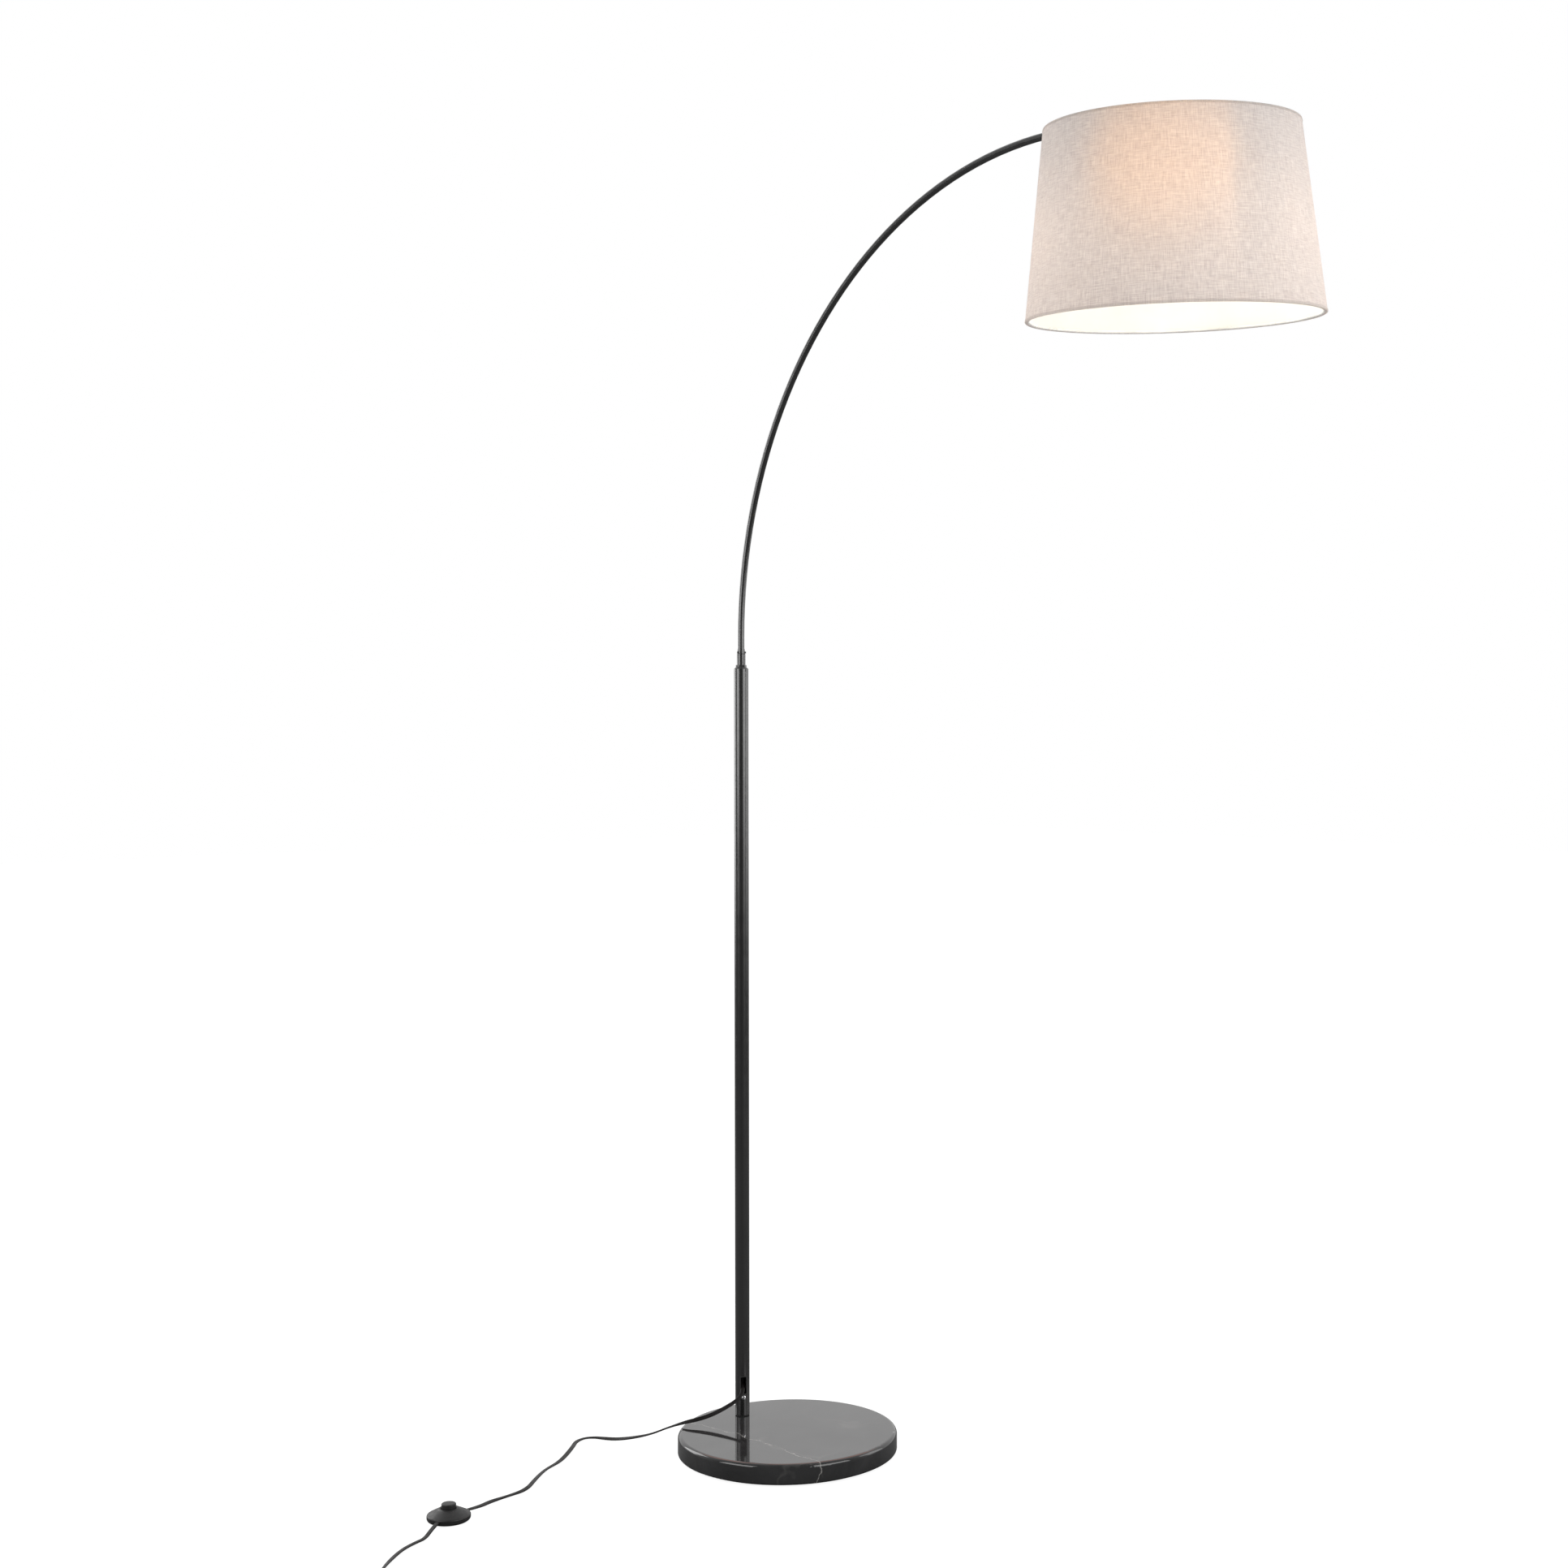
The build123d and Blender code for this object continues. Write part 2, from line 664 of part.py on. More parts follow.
# --- Write one file per piece --------------------------------------------------------------------------
pieces = {
    "marble_base": marble_base(),
    "base_felt": base_felt(),
    "base_washer": base_washer(),
    "base_bolt": base_bolt(),
    "pole_foot_plug": pole_foot_plug(),
    "pole_foot_gasket": pole_foot_gasket(),
    "pole_tube": pole_tube(),
    "slot_grommet": slot_grommet(),
    "pole_lock_screw": pole_lock_screw(),
    "pole_wire": pole_wire(),
    "pole_top_cap": pole_top_cap(),
    "coupler_locknut": coupler_locknut(),
    "coupler_sleeve": coupler_sleeve(),
    "coupler_set_screws": coupler_set_screws(),
    "arm_tube": arm_tube(),
    "arm_wire": arm_wire(),
    "swivel_upper": swivel_upper(),
    "swivel_washer": swivel_washer(),
    "swivel_bolt": swivel_bolt(),
    "swivel_nut": swivel_nut(),
    "swivel_lower": swivel_lower(),
    "lampholder_cap": lampholder_cap(),
    "lampholder_body": lampholder_body(),
    "lampholder_insulator": lampholder_insulator(),
    "lampholder_contacts": lampholder_contacts(),
    "lampholder_shell": lampholder_shell(),
    "shade_retaining_ring": shade_retaining_ring(),
    "bulb_cap": bulb_cap(),
    "bulb_housing": bulb_housing(),
    "bulb_globe": bulb_globe(),
    "shade_frame": shade_frame(),
    "shade_bottom_ring": shade_bottom_ring(),
    "shade_fabric": shade_fabric(),
    "shade_liner": shade_liner(),
    "shade_top_hem": shade_top_hem(),
    "shade_bottom_hem": shade_bottom_hem(),
    "switch_base": switch_base(),
    "switch_cover": switch_cover(),
    "switch_button": switch_button(),
    "switch_spring": switch_spring(),
    "switch_contacts": switch_contacts(),
    "switch_screws": switch_screws(),
    "cord_lamp_side": cord_tube("cord_lamp_side", lamp_side_route),
    "cord_plug_side": cord_tube("cord_plug_side", plug_side_route),
    "cord_coil": cord_coil(),
    "cord_tie": cord_tie(),
    "cord_tail": cord_tube("cord_tail", tail_route),
    "plug_strain_relief": plug_strain_relief(),
    "plug_body": plug_body(),
    "plug_blades": plug_blades(),
}

os.makedirs("parts", exist_ok=True)
for node, piece in pieces.items():
    export_step(piece, f"parts/{node}.step")

print("pivot", [round(v, 2) for v in pivot])
print("hinge axis", [round(v, 5) for v in hinge_axis])
print("shade axis", [round(v, 5) for v in shade_axis])
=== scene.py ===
import json
import math

import bmesh
import bpy
from mathutils import Matrix, Vector

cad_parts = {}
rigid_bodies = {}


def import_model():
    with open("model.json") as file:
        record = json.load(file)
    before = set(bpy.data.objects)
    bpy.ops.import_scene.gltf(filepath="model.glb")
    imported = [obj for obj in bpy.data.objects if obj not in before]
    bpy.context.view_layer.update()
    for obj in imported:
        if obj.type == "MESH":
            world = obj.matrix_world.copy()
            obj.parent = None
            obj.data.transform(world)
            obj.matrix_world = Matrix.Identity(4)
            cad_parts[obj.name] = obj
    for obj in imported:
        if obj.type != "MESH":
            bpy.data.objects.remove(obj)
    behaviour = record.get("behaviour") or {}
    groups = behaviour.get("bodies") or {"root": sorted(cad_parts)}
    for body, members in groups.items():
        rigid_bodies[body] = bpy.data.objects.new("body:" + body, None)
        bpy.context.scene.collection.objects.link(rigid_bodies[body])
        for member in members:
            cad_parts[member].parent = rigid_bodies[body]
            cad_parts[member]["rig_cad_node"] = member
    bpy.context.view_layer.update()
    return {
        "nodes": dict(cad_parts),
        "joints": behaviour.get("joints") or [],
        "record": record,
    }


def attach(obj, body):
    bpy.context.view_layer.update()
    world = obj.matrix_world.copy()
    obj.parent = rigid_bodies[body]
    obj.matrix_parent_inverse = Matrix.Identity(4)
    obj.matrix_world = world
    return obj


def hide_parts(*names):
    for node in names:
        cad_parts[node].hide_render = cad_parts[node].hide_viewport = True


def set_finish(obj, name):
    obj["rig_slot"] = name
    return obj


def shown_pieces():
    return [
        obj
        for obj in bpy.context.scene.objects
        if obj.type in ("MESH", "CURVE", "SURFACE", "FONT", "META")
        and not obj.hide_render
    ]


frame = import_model()

# Arc floor lamp, in metres, in the row frame: the origin is on the floor under the middle
# of the marble disc, +Z is up and +X points from the pole towards the shade.

MM = 0.001
scene = bpy.context.scene
scene.view_settings.view_transform = "Standard"


# --- Camera ---------------------------------------------------------------------------------
CAMERA_PLACE = (2.4216, -2.0122, 0.9982)
CAMERA_TURN = (135.77, -1.715, 0.07)  # yaw, pitch and roll in degrees


def make_camera():
    """Camera at the lamp's viewing angle: level enough to keep the pole upright, and shifted."""
    yaw, pitch, roll = (math.radians(angle) for angle in CAMERA_TURN)
    forward = Vector((math.cos(yaw) * math.cos(pitch), math.sin(yaw) * math.cos(pitch), math.sin(pitch)))
    level = Vector((math.sin(yaw), -math.cos(yaw), 0))
    above = level.cross(forward)
    right = level * math.cos(roll) + above * math.sin(roll)
    up = right.cross(forward)
    data = bpy.data.cameras.new("camera")
    data.sensor_width = 36
    data.lens = 52.91
    data.shift_x = -0.1177
    data.shift_y = 0.0061
    data.clip_start, data.clip_end = 0.05, 60
    camera = bpy.data.objects.new("camera", data)
    scene.collection.objects.link(camera)
    axes = Matrix((right, up, -forward)).transposed()
    camera.matrix_world = Matrix.Translation(CAMERA_PLACE) @ axes.to_4x4()
    scene.camera = camera


make_camera()


# --- Cords ----------------------------------------------------------------------------------
# A flat twin cord: 5.6 mm wide and 2.6 mm thick, with a groove down the middle of each face.
# Every point is x, y, z in millimetres and the turn of the cord's flat side in degrees: at 0
# it lies flat and at 90 it stands on its edge.
CORD_WIDTH = 5.6
CORD_THICK = 2.6
LAMP_SIDE = [
    (-98.0, -1.0, 75.0, 0),
    (-88.0, -6.9, 65.5, -10),
    (-83.0, -21.0, 57.5, -28),
    (-86.5, -39.0, 50.0, -50),
    (-92.0, -57.0, 43.0, -65),
    (-100.5, -74.0, 38.0, -62),
    (-112.0, -92.0, 34.5, -30),
    (-129.0, -106.5, 27.0, 12),
    (-149.5, -120.0, 16.0, 6),
    (-172.0, -134.5, 9.0, -22),
    (-198.5, -144.5, 3.0, -30),
    (-216.0, -153.0, 2.2, -22),
    (-229.0, -157.5, 1.6, -4),
    (-237.0, -170.5, 1.9, 8),
    (-232.5, -188.0, 1.9, -6),
    (-217.0, -203.5, 2.3, -20),
    (-197.5, -225.0, 2.4, -26),
    (-180.0, -247.0, 2.1, -15),
    (-170.5, -263.5, 1.7, 2),
    (-160.0, -287.5, 1.9, 13),
    (-137.5, -317.5, 1.9, -3),
    (-107.0, -352.0, 2.3, -22),
    (-104.0, -383.5, 1.9, 6),
    (-100.0, -410.5, 2.6, -24),
    (-89.5, -434.5, 3.8, -14),
    (-86.0, -456.0, 5.6, 0),
]
PLUG_SIDE = [
    (-72.1, -503.9, 5.6, 0),
    (-57.5, -522.5, 4.2, -2),
    (-41.0, -541.5, 1.9, 2),
    (-37.5, -556.5, 1.8, 0),
    (-28.0, -580.0, 1.8, 4),
    (-9.0, -606.0, 1.8, 4),
    (11.0, -628.0, 2.2, 25),
    (30.0, -647.0, 2.8, 70),
    (38.2, -667.0, 3.0, 90),
]
TAIL = [
    (77.0, -726.4, 8.7, 90),
    (88.0, -726.4, 8.6, 72),
    (99.5, -727.4, 7.4, 28),
    (108.0, -727.5, 7.2, 4),
    (114.0, -727.5, 7.2, 0),
]
COIL_CENTRE = (75.0, -690.0)
COIL_STEPS = 16  # points in each turn
COIL_TURNS_LOW = 3.0  # turns on the ground, before the cord climbs on top of them
COIL_TURNS = 5.25
COIL_CLIMB = 0.24  # share of a turn that the climb takes
COIL_OUTER = 35.6
COIL_PITCH = 3.3  # from one turn to the next in a layer
COIL_LAYERS = (3.05, 8.75)  # height of the cord's centre in each layer


def coil_points():
    """Turns wound inwards on the ground and back outwards on top of themselves."""
    pull = math.cos(math.pi / COIL_STEPS)
    points = []
    for step in range(1, int(COIL_TURNS * COIL_STEPS)):
        turn = step / COIL_STEPS
        angle = math.pi + 2 * math.pi * turn
        inwards = min(turn, COIL_TURNS_LOW) - max(turn - COIL_TURNS_LOW, 0)
        radius = (COIL_OUTER - COIL_PITCH * inwards) / pull
        climb = min(max((turn - COIL_TURNS_LOW + COIL_CLIMB / 2) / COIL_CLIMB, 0), 1)
        height = COIL_LAYERS[0] + (COIL_LAYERS[1] - COIL_LAYERS[0]) * climb
        x = COIL_CENTRE[0] + radius * math.cos(angle)
        y = COIL_CENTRE[1] + radius * math.sin(angle)
        points.append((x, y, height, 90))
    return points


SECTION_STEPS = 40
GROOVE_DEPTH, GROOVE_WIDTH = 0.24, 0.6
CORNER_ROUNDING = 0.75


def cord_section():
    """The cord's cross-section in millimetres: two round cores side by side, as one outline."""
    data = bpy.data.curves.new("cord_section", "CURVE")
    data.dimensions = "2D"
    outline = data.splines.new("POLY")
    outline.points.add(SECTION_STEPS - 1)
    for index, point in enumerate(outline.points):
        angle = 2 * math.pi * index / SECTION_STEPS
        x = CORD_WIDTH / 2 * math.cos(angle)
        groove = 1 - GROOVE_DEPTH * math.exp(-((x / GROOVE_WIDTH) ** 2))
        side = math.copysign(abs(math.sin(angle)) ** CORNER_ROUNDING, math.sin(angle))
        y = CORD_THICK / 2 * side * groove
        point.co = (x, y, 0, 1)
    outline.use_cyclic_u = True
    section = bpy.data.objects.new("cord_section", data)
    scene.collection.objects.link(section)
    section.hide_render = True
    section.hide_viewport = True
    return section


def flat_cord(name, points, section):
    """A cord along its own points. The section is in millimetres, so the radius scales it down."""
    data = bpy.data.curves.new(name, "CURVE")
    data.dimensions = "3D"
    data.twist_mode = "Z_UP"
    spline = data.splines.new("NURBS")
    spline.points.add(len(points) - 1)
    for point, (x, y, z, turn) in zip(spline.points, points):
        point.co = (x * MM, y * MM, z * MM, 1)
        point.tilt = math.radians(turn)
        point.radius = MM
    spline.order_u = 3
    spline.use_endpoint_u = True
    data.resolution_u = 8
    data.bevel_mode = "OBJECT"
    data.bevel_object = section
    data.use_fill_caps = True
    piece = bpy.data.objects.new(name, data)
    scene.collection.objects.link(piece)
    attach(piece, "stand")
    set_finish(piece, "cord_pvc")
    return piece


section = cord_section()
cord_to_switch = flat_cord("cord_to_switch", LAMP_SIDE, section)
cord_to_plug = flat_cord("cord_to_plug", PLUG_SIDE + coil_points() + TAIL, section)
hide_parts("cord_lamp_side")
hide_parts("cord_plug_side", "cord_coil", "cord_tail")


# --- Mesh helpers ---------------------------------------------------------------------------
def add_mesh(name, mesh_bm, body, slot, smooth_angle=40):
    """Turn a bmesh into a piece that rides on a body, shaded smooth except at sharp edges."""
    bmesh.ops.recalc_face_normals(mesh_bm, faces=mesh_bm.faces)
    limit = math.radians(smooth_angle)
    for face in mesh_bm.faces:
        face.smooth = True
    for edge in mesh_bm.edges:
        if len(edge.link_faces) == 2 and edge.calc_face_angle(0) > limit:
            edge.smooth = False
    data = bpy.data.meshes.new(name)
    mesh_bm.to_mesh(data)
    mesh_bm.free()
    piece = bpy.data.objects.new(name, data)
    scene.collection.objects.link(piece)
    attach(piece, body)
    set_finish(piece, slot)
    return piece


def lathe(profile, steps, place=Matrix.Identity(4), closed=True, uv_radius=None):
    """Revolve (radius, height) points about the local Z axis, then put them in place."""
    mesh_bm = bmesh.new()
    uv = mesh_bm.loops.layers.uv.new("cloth") if uv_radius else None
    along = [0.0]
    ring_profile = profile + [profile[0]] if closed else profile
    for (r0, z0), (r1, z1) in zip(ring_profile, ring_profile[1:]):
        along.append(along[-1] + math.hypot(r1 - r0, z1 - z0))
    columns = []
    for step in range(steps):
        angle = 2 * math.pi * step / steps
        c, s = math.cos(angle), math.sin(angle)
        column = []
        for r, z in profile:
            if r < 1e-7 and step > 0:
                column.append(columns[0][len(column)])
            else:
                column.append(mesh_bm.verts.new(place @ Vector((r * c, r * s, z))))
        columns.append(column)
    spans = len(ring_profile) - 1
    count = len(profile)
    for step in range(steps):
        this, after = columns[step], columns[(step + 1) % steps]
        for row in range(spans):
            up = (row + 1) % count
            corners = [(this[row], step, row), (after[row], step + 1, row)]
            corners += [(after[up], step + 1, row + 1), (this[up], step, row + 1)]
            kept = []
            for corner in corners:
                if all(corner[0] is not other[0] for other in kept):
                    kept.append(corner)
            if len(kept) < 3:
                continue
            face = mesh_bm.faces.new([corner[0] for corner in kept])
            if uv:
                for loop, (_, column_index, row_index) in zip(face.loops, kept):
                    loop[uv].uv = (2 * math.pi * column_index / steps * uv_radius, along[row_index])
    return mesh_bm


def arc_points(centre, radius, start, end, steps):
    """Points on a circle in the profile plane, angles in degrees."""
    found = []
    for step in range(steps + 1):
        angle = math.radians(start + (end - start) * step / steps)
        found.append((centre[0] + radius * math.cos(angle), centre[1] + radius * math.sin(angle)))
    return found


def mm(points):
    """The same points, given in millimetres, as metres."""
    return [tuple(v * MM for v in point) for point in points]


def superellipse_loft(sections, place, steps=48):
    """Loft of rounded-rectangle rings: each is x, half width, half height and squareness."""
    mesh_bm = bmesh.new()
    rings = []
    for x, half_w, half_h, power in sections:
        ring = []
        for step in range(steps):
            angle = 2 * math.pi * step / steps
            c, s = math.cos(angle), math.sin(angle)
            y = half_w * math.copysign(abs(c) ** (2 / power), c)
            z = half_h * math.copysign(abs(s) ** (2 / power), s)
            ring.append(mesh_bm.verts.new(place @ Vector((x * MM, y * MM, z * MM))))
        rings.append(ring)
    for low, high in zip(rings, rings[1:]):
        for step in range(steps):
            after = (step + 1) % steps
            mesh_bm.faces.new([low[step], low[after], high[after], high[step]])
    mesh_bm.faces.new(rings[0])
    mesh_bm.faces.new(rings[-1])
    return mesh_bm


# --- Foot switch ----------------------------------------------------------------------------
SWITCH_PLACE = Matrix.Translation((-0.0838, -0.4818, 0))


def make_switch():
    """Foot switch: a flat lower shell, a domed upper shell and the push button in its collar."""
    tray = [(0, 0.0), (23.2, 0.0)] + arc_points((23.2, 4.1), 4.1, -80, -2, 10)
    tray += [(27.3, 4.6), (27.3, 5.35), (26.9, 5.5), (25.3, 5.5)]
    tray += [(25.3, 4.0), (23.0, 2.0), (0, 2.0)]
    tray_bm = lathe(mm(tray), 128, SWITCH_PLACE, closed=False)
    shell_low = add_mesh("switch_shell_lower", tray_bm, "stand", "switch_plastic", 50)
    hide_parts("switch_base")
    dome = [(26.9, 5.62), (27.3, 5.8)] + arc_points((24.6, 5.9), 2.7, 0, 52, 8)
    dome += [(24.2, 9.0), (21.8, 10.35), (19.2, 11.7), (16.6, 12.95), (14.4, 13.95), (12.9, 14.6)]
    dome += arc_points((11.6, 14.2), 1.3, 60, 100, 4) + [(10.6, 15.45), (10.3, 15.3), (9.75, 14.9)]
    dome += [(9.75, 13.4), (11.6, 12.8), (16.6, 10.6), (21.8, 7.9), (25.3, 6.3), (25.3, 5.62)]
    dome_bm = lathe(mm(dome), 128, SWITCH_PLACE)
    shell_top = add_mesh("switch_shell_upper", dome_bm, "stand", "switch_plastic", 50)
    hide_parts("switch_cover")
    crown = [(0, 8.6), (5.0, 8.6), (5.0, 10.6), (10.4, 10.6), (10.4, 11.8), (9.15, 11.8)]
    crown += arc_points((7.75, 20.0), 1.4, 0, 78, 8) + [(6.0, 21.46), (3.0, 21.5), (0, 21.5)]
    crown_bm = lathe(mm(crown), 96, SWITCH_PLACE, closed=False)
    button = add_mesh("switch_push_button", crown_bm, "switch_button", "switch_plastic", 50)
    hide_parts("switch_button")
    return [shell_low, shell_top, button]


switch_pieces = make_switch()


# --- Plug and tie ---------------------------------------------------------------------------
PLUG_PLACE = Matrix.Translation((0.143, -0.7275, 0.0072))


def make_plug():
    """Two-blade plug with grip ridges, and the ribbed sleeve that tapers along the cord."""
    body = [(0, 4.6, 3.2, 3.0), (0.4, 6.4, 4.4, 3.2), (2.2, 8.6, 5.4, 3.4), (5.5, 9.6, 5.7, 3.6)]
    for ridge in range(4):
        x = 8.0 + ridge * 3.0
        grown = 9.9 + ridge * 0.35
        body += [(x, grown, 5.9, 4.0), (x + 0.5, grown - 0.75, 5.3, 4.0)]
        body += [(x + 1.5, grown - 0.7, 5.3, 4.0), (x + 2.0, grown + 0.1, 5.9, 4.0)]
    body += [(21.5, 11.4, 6.6, 4.6), (26.0, 11.85, 6.85, 5.0)]
    body += [(28.2, 11.8, 6.8, 5.0), (28.9, 11.3, 6.4, 5.0)]
    body_bm = superellipse_loft(body, PLUG_PLACE, 64)
    shell = add_mesh("plug_shell", body_bm, "stand", "plug_plastic", 55)
    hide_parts("plug_body")
    relief = [(-31.8, 3.1, 1.7, 2.4)]
    for rib in range(7):
        x = -31.0 + rib * 4.3
        half_w, half_h = 3.3 + rib * 0.38, 2.3 + rib * 0.30
        relief += [(x, half_w, half_h, 2.8), (x + 2.3, half_w + 0.2, half_h + 0.16, 2.8)]
        relief += [(x + 2.6, half_w - 0.35, half_h - 0.35, 2.6)]
        relief += [(x + 3.9, half_w - 0.25, half_h - 0.25, 2.6)]
    relief += [(-0.6, 6.0, 4.3, 3.0), (0.2, 6.0, 4.4, 3.0)]
    relief_bm = superellipse_loft(relief, PLUG_PLACE, 48)
    sleeve = add_mesh("plug_sleeve", relief_bm, "stand", "plug_plastic", 55)
    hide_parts("plug_strain_relief")
    return [shell, sleeve]


TIE_STEPS = 40
TIE_AT = 35  # where on the coil the tie sits, in degrees
TIE_MIDDLE, TIE_HALF_SPAN = 30.4, 5.6  # from the coil's centre, over its turns
TIE_LOW, TIE_HIGH = 0.1, 12.6
TIE_HALF_WIDTH = 2.4
TIE_ROUNDING = 0.45
TIE_HEAD = (5.2, 6.6, 2.4)


def make_tie():
    """Nylon strap tie round the wound cord, with its head on top."""
    centre_z = (TIE_LOW + TIE_HIGH) / 2
    half_z = (TIE_HIGH - TIE_LOW) / 2
    outline = []
    for step in range(TIE_STEPS):
        angle = 2 * math.pi * step / TIE_STEPS
        c, s = math.cos(angle), math.sin(angle)
        x = TIE_MIDDLE + TIE_HALF_SPAN * math.copysign(abs(c) ** TIE_ROUNDING, c)
        z = centre_z + half_z * math.copysign(abs(s) ** TIE_ROUNDING, s)
        outline.append((x, z))
    turn = Matrix.Rotation(math.radians(TIE_AT), 4, "Z")
    turn = Matrix.Translation((*COIL_CENTRE, 0)) @ turn
    mesh_bm = bmesh.new()
    rings = []
    for x, z in outline:
        inner_x = TIE_MIDDLE + (x - TIE_MIDDLE) * 0.86
        inner_z = centre_z + (z - centre_z) * 0.93
        corners = ((x, -1, z), (x, 1, z), (inner_x, 1, inner_z), (inner_x, -1, inner_z))
        rings.append([mesh_bm.verts.new(turn @ Vector((px, side * TIE_HALF_WIDTH, pz)) * MM)
                      for px, side, pz in corners])
    for ring, after in zip(rings, rings[1:] + rings[:1]):
        for k in range(4):
            mesh_bm.faces.new([ring[k], ring[(k + 1) % 4], after[(k + 1) % 4], after[k]])
    head = bmesh.ops.create_cube(mesh_bm, size=1)["verts"]
    long, wide, tall = TIE_HEAD
    for vert in head:
        place = Vector((TIE_MIDDLE + vert.co.x * long, vert.co.y * wide,
                        TIE_HIGH + 0.3 + vert.co.z * tall))
        vert.co = turn @ place * MM
    head_edges = {edge for vert in head for edge in vert.link_edges}
    bmesh.ops.bevel(mesh_bm, geom=list(head_edges), offset=0.0005, segments=3, profile=0.5,
                    affect="EDGES")
    tie = add_mesh("coil_tie", mesh_bm, "stand", "black_nylon")
    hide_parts("cord_tie")
    return tie


plug_pieces = make_plug()
coil_tie = make_tie()


# --- Shade ----------------------------------------------------------------------------------
tilt_joint = next(joint for joint in frame["joints"] if joint["name"] == "shade_tilt")
PIVOT = Vector(tilt_joint["pos_m"])
HINGE = Vector(tilt_joint["axis"]).normalized()
LEAN, ROLL = math.radians(1.66), math.radians(4.07)
SHADE_AXIS = Vector((math.sin(LEAN), -math.sin(ROLL) * math.cos(LEAN), math.cos(ROLL) * math.cos(LEAN)))
SIDE = HINGE.cross(SHADE_AXIS).normalized()
HEAD_AXES = Matrix((SIDE, SHADE_AXIS.cross(SIDE), SHADE_AXIS)).transposed()
HEAD_PLACE = Matrix.Translation(PIVOT) @ HEAD_AXES.to_4x4()
SHADE_TOP, SHADE_FOOT = 9.5, -206.5  # heights above the pivot, in millimetres
SHADE_TOP_R, SHADE_FOOT_R = 147.0, 173.0
SHADE_STEPS = 288
CLOTH_RADIUS = 0.16  # turns an angle round the shade into metres of cloth
SEAM_AT = 135  # degrees round the shade: the back
SEAM_MARGIN = 3.2  # from each edge of the shade


def cone_r(z):
    """Outer radius of the shade in millimetres at a height above the pivot."""
    return SHADE_TOP_R + (SHADE_TOP - z) / (SHADE_TOP - SHADE_FOOT) * (SHADE_FOOT_R - SHADE_TOP_R)


def cone_band(inset, thickness, low, high, rows):
    """Closed profile of a conical band, inset from the shade's outer surface."""
    heights = [low + (high - low) * row / rows for row in range(rows + 1)]
    outer = [(cone_r(z) - inset, z) for z in heights]
    inner = [(cone_r(z) - inset - thickness, z) for z in reversed(heights)]
    return mm(outer + inner)


def make_hem(name, edge_z, inwards, node):
    """Cloth rolled over an edge of the shade: a short outer leg, a round fold, an inner leg."""
    r = cone_r(edge_z)
    leg = 2.6  # depth of the hem's outer leg
    outer_leg = (cone_r(edge_z + inwards * leg) + 0.45, edge_z + inwards * leg)
    fold_outer = arc_points((r - 1.35, edge_z + inwards * 1.3), 1.8, 0, 90, 6)
    fold_inner = arc_points((r - 2.2, edge_z + inwards * 1.3), 1.8, 90, 180, 6)
    if inwards > 0:
        fold_outer = [(x, 2 * (edge_z + 1.3) - z) for x, z in fold_outer]
        fold_inner = [(x, 2 * (edge_z + 1.3) - z) for x, z in fold_inner]
    inner_leg = [(r - 3.95, edge_z + inwards * 2.4), (r - 3.6, edge_z + inwards * 2.6)]
    back = [(r - 3.3, edge_z + inwards * 1.2), (r - 1.2, edge_z + inwards * 0.15)]
    back += [(r + 0.02, edge_z + inwards * 0.6), (outer_leg[0] - 0.42, outer_leg[1])]
    profile = mm([outer_leg] + fold_outer + fold_inner + inner_leg + back)
    hem_bm = lathe(profile, SHADE_STEPS, HEAD_PLACE, uv_radius=CLOTH_RADIUS)
    hem = add_mesh(name, hem_bm, "shade_head", "hem_tape", 60)
    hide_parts(node)
    return hem


def make_seam():
    """Glued lap down the back of the cover, where the cloth's two edges meet."""
    mesh_bm = bmesh.new()
    uv = mesh_bm.loops.layers.uv.new("cloth")
    profile = [(-6.2, 0.02), (-5.9, 0.42), (-5.2, 0.55), (0, 0.58)]
    profile += [(-across, proud) for across, proud in reversed(profile[:-1])]
    rows = 36
    rings = []
    for row in range(rows + 1):
        z = SHADE_FOOT + SEAM_MARGIN + (SHADE_TOP - SHADE_FOOT - 2 * SEAM_MARGIN) * row / rows
        ring = []
        for across, proud in profile + [(x, 0.0) for x, _ in reversed(profile[1:-1])]:
            angle = math.radians(SEAM_AT) + across / cone_r(z)
            r = cone_r(z) + (proud if proud else -0.1)
            point = Vector((r * math.cos(angle), r * math.sin(angle), z)) * MM
            ring.append((mesh_bm.verts.new(HEAD_PLACE @ point), across * MM, z * MM))
        rings.append(ring)
    count = len(rings[0])
    for low, high in zip(rings, rings[1:]):
        for k in range(count):
            corners = [low[k], low[(k + 1) % count], high[(k + 1) % count], high[k]]
            face = mesh_bm.faces.new([corner[0] for corner in corners])
            for loop, corner in zip(face.loops, corners):
                loop[uv].uv = (corner[1] + 3.0, corner[2] + 0.5)
    for ring in (rings[0], rings[-1]):
        mesh_bm.faces.new([corner[0] for corner in ring])
    return add_mesh("cover_seam", mesh_bm, "shade_head", "linen", 50)


